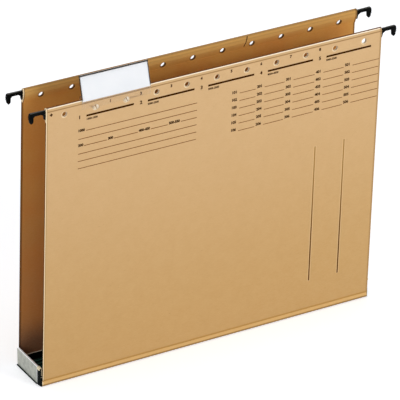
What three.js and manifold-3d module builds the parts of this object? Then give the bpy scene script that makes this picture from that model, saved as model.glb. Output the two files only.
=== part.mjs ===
// Hanging file folder for A4 papers: two creased board panels on a stiffened base,
// each hung from a steel rail inside its hem by two moulded hooks, with a clear index tab.
// Millimetres, +Z up, +X to the right and -Y towards the reader of the front panel.
// The origin lies on the table, under the middle of the base.

import * as THREE from 'three';
import { mergeVertices } from 'three/addons/utils/BufferGeometryUtils.js';
import Module from 'manifold-3d';

const wasm = await Module();
wasm.setup();

// Board panels and base
const panelWidth = 318; // cut width of the board, between the file rails of a cabinet
const folderHeight = 260; // table to the top fold of the hems
const baseDepth = 42; // over the outer faces of the two panels
const boardThickness = 0.8;
const creaseHeight = 6; // table to the crease that each panel folds at
const creaseGap = 0.3; // board that the crease takes up between lip and panel
const baseFoldRadius = 1.6; // outside of the bottom fold
const foldSteps = 5; // straight steps in each rounded fold

// Hem sleeve at the top of each panel
const sleeveWidth = 2; // clear width between the two layers
const hemShoulderDrop = 3.2; // top fold down to the shoulder crease
const hemShoulderInset = 0.4; // how far the top fold draws in above that crease
const hemTaperHeight = 5.9; // the inner layer slopes back to the panel over this height
const hemGlueHeight = 0.8; // glued edge of the inner layer

// Steel rail in the sleeve
const railThickness = 0.8;
const railHeight = 4.7;
const railTopClearance = 0.3; // rail to the inside of the top fold
const railEndSetback = 1; // body of the rail inside the panel's cut edge
const tongueHeight = 1.5; // the rail's narrowed end
const tongueLength = 7; // how far it reaches into the hook, past the cut edge

// Row of punched holes through both layers of the hem
const holeRadius = 2.4;
const holeCount = 11;
const holeEdgeDistance = 17; // first hole's centre to the cut edge
const holeRailGap = 0.4; // rail to the top of the holes
const railTaperGap = 0.3; // rail to the start of the inner layer's slope
const holeSides = 20;

// Moulded hooks
const hookReach = 15; // past the panel's cut edge
const hookThickness = 2.3;
const hookEdgeRounding = 0.35;
const armTopDrop = 1.6; // top fold of the hem down to the top of the arm
const armHeight = 2.8;
const hookTipDrop = 9.5; // top of the arm to the end of the tip
const tipWidth = 4.1;
const tipCornerRadius = 0.8; // outer corner between arm and tip
const throatRadius = 0.9; // inner corner between arm and tip
const gussetWidth = 3.7; // along the arm
const gussetDrop = 5.2; // down the panel's cut edge, below the arm
const gussetFoot = 0.9; // width of the gusset's lower end
const hookEdgeGap = 0.3; // hook to the panel's cut edge
const socketClearance = 0.15; // above, below and past the rail's tongue, which fills its width
const shankGap = 0.3; // shank to the rail above it
const shankSlopeGap = 0.1; // wedge-shaped shank to the sloping inner layer
const shankHoleGap = 1.6; // end of the shank to the first hole

// Ribbed tray that stiffens the base
const trayClearance = 0.5; // tray to the inner faces of the board
const trayFloorThickness = 1.2;
const trayWallThickness = 1.2;
const trayWallTop = 8.4; // above the table
const trayChamfer = 0.6; // clears the round of the board's bottom fold
const ribCount = 7;
const ribWidth = 0.9;
const ribHeight = 1;
const trayEndGap = 0.3; // cut edge of the board to the tray's skirt
const traySkirtThickness = 1.2; // the tray's end, past the cut edge of the board
const traySkirtTop = 1.6; // above the table
const postTop = 8; // corner posts, above the table
const postThickness = 1.6; // measured inwards from the outside of the tray's walls
const endWallThickness = 1.2;
const endWallTop = 16.6; // above the table
const endWallSetback = 2.4; // front edge of the end wall behind the panel's outer face
const cornerStandOff = 0.9; // tray corner behind the panels' outer faces
const cornerTaperLength = 3.4; // each tray corner draws in over this length
const cornerTaperDepth = 0.7;
const ledgeDepth = 0.8; // ledge that the end plate stands on, out from the tray's end
const ledgeHeight = 0.8;

// Sheet metal plates clipped over the end walls
const plateThickness = 0.5;
const plateFrontSetback = 6.6; // behind the front panel's outer face
const plateBackSetback = 0.9;
const plateLipDepth = 1.4; // how far the rim folds down into the end wall's rebate
const plateSeatGap = 0.1; // rim and inner lip to the end wall, and the plate's front edge to the rebate's end

// Folded clips that close the front corners
const clipThickness = 0.7;
const clipHeight = 7.7;
const clipOutsideHeight = 2.2; // its short outer leg
const clipWallGap = 0.1; // sides of the clip to the end wall that it sits on
const clipPlateGap = 0.3; // clip to the end plate's front edge
const clipFrontGap = 0.2; // clip behind the end wall's front edge

// Clear index tab on the front hem, and its paper label
const tabWidth = 63;
const tabFirstHole = 1; // the tab's pegs sit in this hole and the next, counted from 0 at the left
const tabShift = 4.5; // tab's middle to the right of the middle of its two holes
const tabLean = 17; // degrees, towards the back panel
const tabFilm = 0.5;
const tabHemGap = 0.15; // leaning window to the fold of the hem
const windowDrop = 2; // foot of the window below the top fold
const saddleDrop = 8.5; // lower edge of the saddle below the top fold
const archRise = 0.8; // middle of the arch above the top fold
const archSweep = 110; // degrees, from the rear leg to the back of the window
const pegRadius = 2;
const pegSides = 16;
const lobeRadius = 3.2; // round lobes of the saddle that carry the pegs
const labelHeight = 21;
const labelThickness = 0.25;
const labelFaceClearance = 0.15; // label to the film on each side
const labelEdgeClearance = 0.3; // label to the top and the foot of the window
const labelEndSetback = 0.5; // label's ends inside the window's ends

// Slanted slit through the inner layer of the back hem
const slitHole = 7; // the slit lies left of this hole, counted from 0 at the left
const slitOffset = 6.6; // middle of the slit to that hole's centre
const slitWidth = 0.5;
const slitLength = 9.6;
const slitTopDrop = 0.8; // top fold to its upper end
const slitLean = 15; // degrees, its upper end to the right
const slitDepth = 2.3; // from the hem's inner face, short of the outer layer

// Sizes that follow from the ones above
const outerFace = baseDepth / 2;
const halfWidth = panelWidth / 2;
const hemDepth = sleeveWidth + 2 * boardThickness;
const hemMiddle = outerFace - hemDepth / 2; // distance of the hem's middle from the folder's middle
const railTop = folderHeight - boardThickness - railTopClearance;
const railBottom = railTop - railHeight;
const holeCentre = railBottom - holeRailGap - holeRadius;
const holePitch = (panelWidth - 2 * holeEdgeDistance) / (holeCount - 1);
const taperTop = railBottom - railTaperGap;
const taperBottom = taperTop - hemTaperHeight;
const hemBottom = taperBottom - hemGlueHeight;
const armTop = folderHeight - armTopDrop;
const armUnderside = armTop - armHeight;
const armMiddle = (armTop + armUnderside) / 2;
const trayHalfDepth = outerFace - boardThickness - trayClearance;
const trayFloorTop = boardThickness + trayFloorThickness;
const trayEnd = halfWidth + trayEndGap + traySkirtThickness;
const endWallInner = trayEnd - endWallThickness;
const endWallFront = outerFace - endWallSetback;
const rimTop = endWallTop + plateSeatGap + plateThickness;
const windowGap = labelThickness + 2 * labelFaceClearance;
const windowDepth = windowGap + 2 * tabFilm;
const windowCavity = labelHeight + 2 * labelEdgeClearance;
const windowHeight = windowCavity + 2 * tabFilm;
const hemFoldRadius = hemDepth / 2 - hemShoulderInset;
const hemFoldCentre = folderHeight - hemFoldRadius;

// Axes that an outline is drawn on: along(outline x), up(outline y) and the way it is extruded
const ALONG_X = new THREE.Matrix4().makeBasis(
  new THREE.Vector3(0, 1, 0), new THREE.Vector3(0, 0, 1), new THREE.Vector3(1, 0, 0));
const ALONG_Y = new THREE.Matrix4().makeBasis(
  new THREE.Vector3(-1, 0, 0), new THREE.Vector3(0, 0, 1), new THREE.Vector3(0, 1, 0));

// Keeps only the positions, with shared corners, so that a geometry can be cut and mirrored
function cornersOnly(geometry) {
  const bare = geometry.clone();
  bare.deleteAttribute('normal');
  bare.deleteAttribute('uv');
  return mergeVertices(bare, 1e-5);
}

function toManifold(geometry) {
  const bare = cornersOnly(geometry);
  const mesh = new wasm.Mesh({
    numProp: 3,
    vertProperties: Float32Array.from(bare.attributes.position.array),
    triVerts: Uint32Array.from(bare.index.array),
  });
  return new wasm.Manifold(mesh);
}

function toGeometry(manifold) {
  const mesh = manifold.getMesh();
  const geometry = new THREE.BufferGeometry();
  geometry.setAttribute('position', new THREE.BufferAttribute(mesh.vertProperties, 3));
  geometry.setIndex(new THREE.BufferAttribute(mesh.triVerts, 1));
  return geometry;
}

function join(first, ...others) {
  return toGeometry(others.reduce((sum, other) => sum.add(toManifold(other)), toManifold(first)));
}

function cut(body, ...tools) {
  return toGeometry(tools.reduce((rest, tool) => rest.subtract(toManifold(tool)), toManifold(body)));
}

// The same piece for the other end (x) or the other side (y) of the folder
function mirrored(geometry, axis) {
  const copy = cornersOnly(geometry);
  copy.scale(axis === 'x' ? -1 : 1, axis === 'y' ? -1 : 1, 1);
  const corners = copy.index.array;
  for (let i = 0; i < corners.length; i += 3) {
    [corners[i + 1], corners[i + 2]] = [corners[i + 2], corners[i + 1]];
  }
  return copy;
}

// Extrudes an outline in Y and Z along the folder's width
function extrudeAlongX(shape, fromX, toX) {
  const geometry = new THREE.ExtrudeGeometry(shape, {
    depth: toX - fromX, bevelEnabled: false, curveSegments: foldSteps });
  return geometry.applyMatrix4(ALONG_X).translate(fromX, 0, 0);
}

// Extrudes an outline in -X and Z along the folder's depth, with its long edges rounded if asked
function extrudeAlongY(shape, fromY, toY, rounding = 0) {
  const geometry = new THREE.ExtrudeGeometry(shape, {
    depth: toY - fromY - 2 * rounding,
    bevelEnabled: rounding > 0,
    bevelThickness: rounding,
    bevelSize: rounding,
    bevelOffset: -rounding,
    bevelSegments: 1,
    curveSegments: foldSteps,
  });
  return geometry.applyMatrix4(ALONG_Y).translate(0, fromY + rounding, 0);
}

function block(lowX, highX, lowY, highY, lowZ, highZ) {
  const box = new THREE.BoxGeometry(highX - lowX, highY - lowY, highZ - lowZ);
  return box.translate((lowX + highX) / 2, (lowY + highY) / 2, (lowZ + highZ) / 2);
}

// A round bar along Y, such as a punch or a peg
function barAlongY(x, z, radius, fromY, toY, sides) {
  const bar = new THREE.CylinderGeometry(radius, radius, toY - fromY, sides);
  return bar.translate(x, (fromY + toY) / 2, z);
}

function holeX(number) {
  return -halfWidth + holeEdgeDistance + number * holePitch;
}

// Front panel: the sheet, folded over at the top and glued down again as a sleeve.
// The outline is drawn in Y and Z, from the outer face inwards.
function panelSection() {
  const face = -outerFace;
  const shoulder = folderHeight - hemShoulderDrop;
  const middle = face + hemDepth / 2;
  const section = new THREE.Shape();
  section.moveTo(face, creaseHeight + creaseGap / 2);
  section.lineTo(face + boardThickness, creaseHeight + creaseGap / 2);
  section.lineTo(face + boardThickness, hemBottom);
  section.lineTo(face + 2 * boardThickness, hemBottom);
  section.lineTo(face + 2 * boardThickness, taperBottom);
  section.lineTo(face + hemDepth, taperTop);
  section.lineTo(face + hemDepth, shoulder);
  section.absarc(middle, hemFoldCentre, hemFoldRadius, 0, Math.PI);
  section.lineTo(face, shoulder);
  section.closePath();

  const sleeve = new THREE.Path();
  sleeve.moveTo(face + boardThickness, taperBottom);
  sleeve.lineTo(face + boardThickness, shoulder);
  sleeve.absarc(middle, hemFoldCentre, hemFoldRadius - boardThickness, Math.PI, 0, true);
  sleeve.lineTo(face + hemDepth - boardThickness, shoulder);
  sleeve.lineTo(face + hemDepth - boardThickness, taperTop);
  sleeve.closePath();
  section.holes.push(sleeve);
  return section;
}

function frontPanel() {
  const sheet = extrudeAlongX(panelSection(), -halfWidth, halfWidth);
  const punches = Array.from({ length: holeCount }, (_, number) => barAlongY(
    holeX(number), holeCentre, holeRadius, -outerFace - hemDepth, -outerFace + 2 * hemDepth, holeSides));
  return cut(sheet, ...punches);
}

// Back panel: the front panel's mirror image, with a slit in the inner layer of its hem
function backPanel() {
  const innerFace = outerFace - hemDepth;
  const lean = THREE.MathUtils.degToRad(slitLean);
  const halfRise = (slitLength / 2) * Math.cos(lean);
  const knife = block(-slitWidth / 2, slitWidth / 2, innerFace - slitDepth, innerFace + slitDepth,
    -slitLength / 2, slitLength / 2);
  knife.rotateY(lean);
  knife.translate(holeX(slitHole) - slitOffset, 0, folderHeight - slitTopDrop - halfRise);
  return cut(mirrored(frontPanel(), 'y'), knife);
}

// Base board: the bottom of the same sheet, turned up into a lip below each crease
function baseBoard() {
  const lipTop = creaseHeight - creaseGap / 2;
  const innerFace = outerFace - boardThickness;
  const innerRadius = baseFoldRadius - boardThickness;
  const section = new THREE.Shape();
  section.moveTo(-outerFace, lipTop);
  section.absarc(-outerFace + baseFoldRadius, baseFoldRadius, baseFoldRadius, Math.PI, 1.5 * Math.PI);
  section.absarc(outerFace - baseFoldRadius, baseFoldRadius, baseFoldRadius, 1.5 * Math.PI, 2 * Math.PI);
  section.lineTo(outerFace, lipTop);
  section.lineTo(innerFace, lipTop);
  section.absarc(innerFace - innerRadius, baseFoldRadius, innerRadius, 0, -0.5 * Math.PI, true);
  section.absarc(-innerFace + innerRadius, baseFoldRadius, innerRadius, -0.5 * Math.PI, -Math.PI, true);
  section.lineTo(-innerFace, lipTop);
  section.closePath();
  return extrudeAlongX(section, -halfWidth, halfWidth);
}

// Front rail: a flat steel strip with a narrowed tongue at each end, drawn in -X and Z
function frontRail() {
  const bodyEnd = halfWidth - railEndSetback;
  const tongueEnd = halfWidth + tongueLength;
  const tongueTop = armMiddle + tongueHeight / 2;
  const tongueBottom = armMiddle - tongueHeight / 2;
  const strip = new THREE.Shape();
  strip.moveTo(-bodyEnd, railBottom);
  strip.lineTo(bodyEnd, railBottom);
  strip.lineTo(bodyEnd, tongueBottom);
  strip.lineTo(tongueEnd, tongueBottom);
  strip.lineTo(tongueEnd, tongueTop);
  strip.lineTo(bodyEnd, tongueTop);
  strip.lineTo(bodyEnd, railTop);
  strip.lineTo(-bodyEnd, railTop);
  strip.lineTo(-bodyEnd, tongueTop);
  strip.lineTo(-tongueEnd, tongueTop);
  strip.lineTo(-tongueEnd, tongueBottom);
  strip.lineTo(-bodyEnd, tongueBottom);
  strip.closePath();
  return extrudeAlongY(strip, -hemMiddle - railThickness / 2, -hemMiddle + railThickness / 2);
}

// Clear width of the sleeve at a height on the inner layer's slope
function sleeveWidthAt(height) {
  return (sleeveWidth * (height - taperBottom)) / hemTaperHeight;
}

// Front left hook: arm, down-turned tip and gusset in one outline, drawn in -X and Z,
// with a wedge-shaped shank in the sleeve below the rail and a socket for the rail's tongue
function frontLeftHook() {
  const root = halfWidth + hookEdgeGap;
  const end = halfWidth + hookReach;
  const tipInner = end - tipWidth;
  const tipMiddle = end - tipWidth / 2;
  const tipBottom = armTop - hookTipDrop;
  const tipShoulder = tipBottom + tipWidth * 0.6;
  const gussetBottom = armUnderside - gussetDrop;
  const outline = new THREE.Shape();
  outline.moveTo(root, gussetBottom);
  outline.lineTo(root + gussetFoot, gussetBottom);
  outline.quadraticCurveTo(root + gussetFoot, armUnderside, root + gussetWidth, armUnderside);
  outline.lineTo(tipInner - throatRadius, armUnderside);
  outline.absarc(tipInner - throatRadius, armUnderside - throatRadius, throatRadius, Math.PI / 2, 0, true);
  outline.lineTo(tipInner, tipShoulder);
  outline.quadraticCurveTo(tipInner + tipWidth / 8, tipBottom, tipMiddle, tipBottom);
  outline.quadraticCurveTo(end - tipWidth / 8, tipBottom, end, tipShoulder);
  outline.lineTo(end, armTop - tipCornerRadius);
  outline.absarc(end - tipCornerRadius, armTop - tipCornerRadius, tipCornerRadius, 0, Math.PI / 2);
  outline.lineTo(root, armTop);
  outline.closePath();
  const lowY = -hemMiddle - hookThickness / 2;
  const moulding = extrudeAlongY(outline, lowY, lowY + hookThickness, hookEdgeRounding);

  const shankEnd = halfWidth - (holeEdgeDistance - holeRadius - shankHoleGap);
  const shankTop = railBottom - shankGap;
  const sleeveFront = -outerFace + boardThickness;
  const wedge = new THREE.Shape();
  wedge.moveTo(sleeveFront, gussetBottom);
  wedge.lineTo(sleeveFront + sleeveWidthAt(gussetBottom) - shankSlopeGap, gussetBottom);
  wedge.lineTo(sleeveFront + sleeveWidthAt(shankTop) - shankSlopeGap, shankTop);
  wedge.lineTo(sleeveFront, shankTop);
  wedge.closePath();
  const shank = extrudeAlongX(wedge, -(root + gussetFoot / 2), -shankEnd);

  const socketHalf = railThickness / 2;
  const socketHalfHeight = tongueHeight / 2 + socketClearance;
  const socket = block(-(halfWidth + tongueLength + socketClearance), -halfWidth,
    -hemMiddle - socketHalf, -hemMiddle + socketHalf,
    armMiddle - socketHalfHeight, armMiddle + socketHalfHeight);
  return cut(join(moulding, shank), socket);
}

// Base tray: a ribbed channel between the lips, with a skirt round the board's cut edges
// and an end wall at each end that the plates clip over
function trayChannel() {
  const inner = trayHalfDepth - trayWallThickness;
  const section = new THREE.Shape();
  section.moveTo(-trayHalfDepth + trayChamfer, boardThickness);
  section.lineTo(trayHalfDepth - trayChamfer, boardThickness);
  section.lineTo(trayHalfDepth, boardThickness + trayChamfer);
  section.lineTo(trayHalfDepth, trayWallTop);
  section.lineTo(inner, trayWallTop);
  section.lineTo(inner, trayFloorTop);
  const pitch = (2 * inner) / (ribCount + 1);
  for (let number = ribCount; number >= 1; number -= 1) {
    const middle = -inner + number * pitch;
    section.lineTo(middle + ribWidth / 2, trayFloorTop);
    section.lineTo(middle + ribWidth / 2, trayFloorTop + ribHeight);
    section.lineTo(middle - ribWidth / 2, trayFloorTop + ribHeight);
    section.lineTo(middle - ribWidth / 2, trayFloorTop);
  }
  section.lineTo(-inner, trayFloorTop);
  section.lineTo(-inner, trayWallTop);
  section.lineTo(-trayHalfDepth, trayWallTop);
  section.lineTo(-trayHalfDepth, boardThickness + trayChamfer);
  section.closePath();
  const length = endWallInner + endWallThickness / 2;
  return extrudeAlongX(section, -length, length);
}

// The tray's left end: skirt, two corner posts and the upright wall
function trayLeftEnd() {
  const corner = outerFace - cornerStandOff;
  const skirtInner = halfWidth + trayEndGap;
  const postInner = trayHalfDepth - postThickness;
  const skirt = block(-trayEnd, -skirtInner, -corner, corner, 0, traySkirtTop);
  const wall = block(-trayEnd, -endWallInner, -endWallFront, corner, 0, endWallTop);
  const lipRoom = plateThickness + plateSeatGap;
  const rebate = block(-endWallInner - lipRoom, -endWallInner + lipRoom,
    -outerFace + plateFrontSetback - plateSeatGap, outerFace, endWallTop - plateLipDepth, 2 * endWallTop);
  const posts = [-1, 1].map((side) => block(-trayEnd, -skirtInner,
    Math.min(side * corner, side * postInner), Math.max(side * corner, side * postInner), 0, postTop));
  const ledge = block(-trayEnd - ledgeDepth, -endWallInner,
    -outerFace + plateFrontSetback, outerFace - plateBackSetback, 0, ledgeHeight);
  const taper = new THREE.Shape();
  taper.moveTo(trayEnd, corner - cornerTaperLength);
  taper.lineTo(trayEnd + cornerTaperDepth, corner - cornerTaperLength);
  taper.lineTo(trayEnd + cornerTaperDepth, corner + cornerTaperDepth);
  taper.lineTo(trayEnd - cornerTaperDepth, corner);
  taper.closePath();
  const frontTaper = new THREE.ExtrudeGeometry(taper, { depth: 2 * endWallTop, bevelEnabled: false });
  frontTaper.rotateZ(Math.PI).translate(0, 0, -endWallTop / 2);
  return join(cut(join(skirt, wall, ...posts), frontTaper, rebate), ledge);
}

function baseTray() {
  const leftEnd = trayLeftEnd();
  return join(trayChannel(), leftEnd, mirrored(leftEnd, 'x'));
}

// Left end plate: sheet metal folded over the end wall into its rebate, drawn in -X and Z
function leftEndPlate() {
  const outside = trayEnd + plateThickness;
  const lipInner = endWallInner;
  const lipOuter = lipInner + plateThickness;
  const rimUnderside = rimTop - plateThickness;
  const section = new THREE.Shape();
  section.moveTo(outside, ledgeHeight);
  section.absarc(outside - plateThickness, rimTop - plateThickness, plateThickness, 0, Math.PI / 2);
  section.absarc(lipInner + plateThickness, rimTop - plateThickness, plateThickness, Math.PI / 2, Math.PI);
  section.lineTo(lipInner, rimUnderside - plateLipDepth);
  section.lineTo(lipOuter, rimUnderside - plateLipDepth);
  section.lineTo(lipOuter, rimUnderside);
  section.lineTo(trayEnd, rimUnderside);
  section.lineTo(trayEnd, ledgeHeight);
  section.closePath();
  return extrudeAlongY(section, -outerFace + plateFrontSetback, outerFace - plateBackSetback);
}

// Left corner clip: a narrow strip folded over the front end of the end wall, longer inside than outside
function leftCornerClip() {
  const outside = trayEnd + clipWallGap + clipThickness;
  const inside = endWallInner - clipWallGap - clipThickness;
  const top = endWallTop + clipThickness;
  const foot = top - clipHeight;
  const middle = (outside + inside) / 2;
  const innerHalf = (outside - inside) / 2 - clipThickness;
  const outerFoot = top - clipOutsideHeight;
  const section = new THREE.Shape();
  section.moveTo(outside, outerFoot);
  section.lineTo(outside, top - clipThickness);
  section.lineTo(outside - clipThickness, top);
  section.lineTo(inside + clipThickness, top);
  section.lineTo(inside, top - clipThickness);
  section.lineTo(inside, foot);
  section.lineTo(middle - innerHalf, foot);
  section.lineTo(middle - innerHalf, endWallTop);
  section.lineTo(middle + innerHalf, endWallTop);
  section.lineTo(middle + innerHalf, outerFoot);
  section.closePath();
  return extrudeAlongY(section, -endWallFront + clipFrontGap, -outerFace + plateFrontSetback - clipPlateGap);
}

// Middle of the tab, and the middle of the foot of its window, which leans past the hem's fold
const tabMiddle = (holeX(tabFirstHole) + holeX(tabFirstHole + 1)) / 2 + tabShift;
const tabLeanAngle = THREE.MathUtils.degToRad(tabLean);
const windowOffset = hemFoldRadius + tabHemGap + windowDepth / 2;
const windowFootHeight = folderHeight - windowDrop;
const windowFootRise = windowFootHeight - (hemFoldCentre + windowOffset * Math.sin(tabLeanAngle));
const windowFootY = -hemMiddle - windowOffset * Math.cos(tabLeanAngle)
  + windowFootRise * Math.tan(tabLeanAngle);

// A box in the window's leaning frame: across the film, and up the window from its foot
function leaningBlock(halfLength, lowAcross, highAcross, lowUp, highUp) {
  const box = block(-halfLength, halfLength, lowAcross, highAcross, lowUp, highUp);
  return box.rotateX(-tabLeanAngle).translate(tabMiddle, windowFootY, windowFootHeight);
}

// Tab holder: a clear saddle on the hem with two pegs through its holes, and a leaning window
function tabHolder() {
  const hemHalf = hemDepth / 2;
  const legBottom = folderHeight - saddleDrop;
  const archMiddle = folderHeight + archRise;
  const sweep = THREE.MathUtils.degToRad(archSweep);
  const rear = new THREE.Shape();
  rear.moveTo(hemHalf, legBottom);
  rear.lineTo(hemHalf + tabFilm, legBottom);
  rear.absarc(0, archMiddle, hemHalf + tabFilm, 0, sweep);
  rear.absarc(0, archMiddle, hemHalf, sweep, 0, true);
  rear.closePath();
  const rearLeg = extrudeAlongX(rear, tabMiddle - tabWidth / 2, tabMiddle + tabWidth / 2)
    .translate(0, -hemMiddle, 0);
  const frontLeg = block(tabMiddle - tabWidth / 2, tabMiddle + tabWidth / 2,
    -outerFace - tabFilm, -outerFace, legBottom, windowFootHeight + tabFilm / 2);
  const numbers = [tabFirstHole, tabFirstHole + 1];
  const lobes = numbers.flatMap((number) => [-1, 1].map((side) => barAlongY(
    holeX(number), holeCentre, lobeRadius,
    -hemMiddle + (side < 0 ? -hemHalf - tabFilm : hemHalf),
    -hemMiddle + (side < 0 ? -hemHalf : hemHalf + tabFilm), holeSides)));
  const pegs = numbers.map((number) => barAlongY(holeX(number), holeCentre, pegRadius,
    -outerFace - tabFilm / 2, -outerFace + hemDepth + tabFilm / 2, pegSides));
  const window = leaningBlock(tabWidth / 2, -windowDepth / 2, windowDepth / 2, 0, windowHeight);
  const slot = leaningBlock(tabWidth / 2 + tabFilm, -windowGap / 2, windowGap / 2,
    tabFilm, tabFilm + windowCavity);
  return cut(join(rearLeg, frontLeg, ...lobes, ...pegs, window), slot);
}

function tabLabel() {
  return leaningBlock(tabWidth / 2 - labelEndSetback, -labelThickness / 2, labelThickness / 2,
    tabFilm + labelEdgeClearance, tabFilm + labelEdgeClearance + labelHeight);
}

const materials = {
  kraftBoard: { color: 0xc9a06c, roughness: 0.85, metalness: 0 },
  railSteel: { color: 0x9a9c9e, roughness: 0.35, metalness: 1 },
  hookPlastic: { color: 0x17191a, roughness: 0.5, metalness: 0 },
  trayPlastic: { color: 0x0e1413, roughness: 0.55, metalness: 0 },
  plateMetal: { color: 0xa9aba4, roughness: 0.45, metalness: 0.9 },
  clipBoard: { color: 0xe2cda0, roughness: 0.8, metalness: 0 },
  tabClear: { color: 0xf2f6f8, roughness: 0.1, metalness: 0, transparent: true, opacity: 0.35 },
  labelPaper: { color: 0xf4f5f6, roughness: 0.9, metalness: 0 },
};

const folder = new THREE.Group();
folder.name = 'hanging_file_folder';

function add(name, geometry, material) {
  const mesh = new THREE.Mesh(geometry, new THREE.MeshStandardMaterial({ ...material, flatShading: true }));
  mesh.name = name;
  folder.add(mesh);
}

const rail = frontRail();
const hook = frontLeftHook();
const plate = leftEndPlate();
const clip = leftCornerClip();

add('base_board', baseBoard(), materials.kraftBoard);
add('base_tray', baseTray(), materials.trayPlastic);
add('left_end_plate', plate, materials.plateMetal);
add('right_end_plate', mirrored(plate, 'x'), materials.plateMetal);
add('left_corner_clip', clip, materials.clipBoard);
add('right_corner_clip', mirrored(clip, 'x'), materials.clipBoard);
add('front_panel', frontPanel(), materials.kraftBoard);
add('front_rail', rail, materials.railSteel);
add('front_left_hook', hook, materials.hookPlastic);
add('front_right_hook', mirrored(hook, 'x'), materials.hookPlastic);
add('back_panel', backPanel(), materials.kraftBoard);
add('back_rail', mirrored(rail, 'y'), materials.railSteel);
add('back_left_hook', mirrored(hook, 'y'), materials.hookPlastic);
add('back_right_hook', mirrored(mirrored(hook, 'y'), 'x'), materials.hookPlastic);
add('tab_holder', tabHolder(), materials.tabClear);
add('tab_label', tabLabel(), materials.labelPaper);

export default folder;
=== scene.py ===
"""Looks of a hanging file folder: kraft board panels on a ribbed black base, black moulded hooks,
a clear index tab with a blank label, and a printed form of plain rules, bars and numbers.
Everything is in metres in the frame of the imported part: +X right, -Y towards the reader, +Z up."""

import math

import bmesh
import bpy
from mathutils import Matrix, Vector


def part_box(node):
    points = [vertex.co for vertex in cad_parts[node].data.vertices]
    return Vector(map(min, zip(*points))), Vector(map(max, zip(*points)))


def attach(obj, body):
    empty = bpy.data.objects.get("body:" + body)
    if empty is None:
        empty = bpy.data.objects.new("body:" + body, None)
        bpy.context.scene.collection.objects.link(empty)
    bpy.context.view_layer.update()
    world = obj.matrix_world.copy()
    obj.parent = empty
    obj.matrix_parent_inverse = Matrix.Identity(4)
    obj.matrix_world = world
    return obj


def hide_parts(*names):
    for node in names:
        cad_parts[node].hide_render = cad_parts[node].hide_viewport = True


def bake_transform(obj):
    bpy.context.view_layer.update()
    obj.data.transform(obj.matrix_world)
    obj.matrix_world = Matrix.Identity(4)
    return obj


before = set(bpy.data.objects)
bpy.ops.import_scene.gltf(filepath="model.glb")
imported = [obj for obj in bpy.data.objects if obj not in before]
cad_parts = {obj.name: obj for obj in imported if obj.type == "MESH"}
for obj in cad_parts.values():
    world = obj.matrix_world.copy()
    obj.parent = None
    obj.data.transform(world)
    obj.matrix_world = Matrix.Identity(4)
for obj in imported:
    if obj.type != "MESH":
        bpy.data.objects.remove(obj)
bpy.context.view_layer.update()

MM = 0.001

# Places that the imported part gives
PANEL_LOW, PANEL_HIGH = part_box("front_panel")
TAB_LOW, TAB_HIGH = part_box("tab_holder")
PLATE_LOW, PLATE_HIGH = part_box("left_end_plate")
HALF_WIDTH = PANEL_HIGH.x
FOLDER_TOP = PANEL_HIGH.z
OUTER_FACE = -PANEL_LOW.y
PANEL_FOOT = PANEL_LOW.z
LIP_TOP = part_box("base_board")[1].z
CREASE = (LIP_TOP + PANEL_FOOT) / 2

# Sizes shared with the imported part
BOARD = 0.8 * MM
SHOULDER_DROP = 3.2 * MM
SLEEVE_DROP = 12 * MM
HOLE_EDGE_DISTANCE = 17 * MM
HOLE_COUNT = 11
HOLE_RADIUS = 2.4 * MM
HOLE_DROP = 8.6 * MM
HOLE_PITCH = (2 * HALF_WIDTH - 2 * HOLE_EDGE_DISTANCE) / (HOLE_COUNT - 1)
SLIT_HOLE = 7
SLIT_OFFSET = 6.6 * MM
SLIT_LENGTH = 9.6 * MM
SLIT_TOP_DROP = 0.8 * MM
SLIT_LEAN = math.radians(15)
TAB_HOLES = (1, 2)
WINDOW_DROP = 2 * MM
RIB_TOP = 3 * MM
TRAY_WALL_TOP = 8.4 * MM

# Margin lines of the printed form: across from the panel's left edge, down from its top fold
MARGIN_LINES = [257.3 * MM, 286 * MM]
MARGIN_TOP = 97.3 * MM
MARGIN_BOTTOM = 227 * MM
MARGIN_THICKNESS = 1.15 * MM

# Camera, at the photograph's viewing angle
PICTURE_PIXELS = 400
FOCAL_PIXELS = 4118
SENSOR = 36
CAMERA_AZIMUTH = math.radians(-31.4)
CAMERA_ELEVATION = math.radians(29.07)
CAMERA_ROLL = math.radians(1.95)
CAMERA_DISTANCE = 3.433
AIM = Vector((0, 0, 0.130))
AIM_ABOVE_CENTRE_PIXELS = 4


def add_camera():
    data = bpy.data.cameras.new("camera")
    data.sensor_width = SENSOR
    data.lens = SENSOR * FOCAL_PIXELS / PICTURE_PIXELS
    camera = bpy.data.objects.new("camera", data)
    bpy.context.scene.collection.objects.link(camera)
    back = Vector((
        math.sin(CAMERA_AZIMUTH) * math.cos(CAMERA_ELEVATION),
        -math.cos(CAMERA_AZIMUTH) * math.cos(CAMERA_ELEVATION),
        math.sin(CAMERA_ELEVATION),
    ))
    level = Vector((math.cos(CAMERA_AZIMUTH), math.sin(CAMERA_AZIMUTH), 0))
    roll = Matrix.Rotation(CAMERA_ROLL, 3, back)
    right = roll @ level
    up = back.cross(right)
    lift = AIM_ABOVE_CENTRE_PIXELS * CAMERA_DISTANCE / FOCAL_PIXELS
    place = Matrix.Translation(AIM + back * CAMERA_DISTANCE - up * lift)
    rotation = Matrix((right, up, back)).transposed()
    camera.matrix_world = place @ rotation.to_4x4()
    bpy.context.scene.camera = camera


# Node trees

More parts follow.
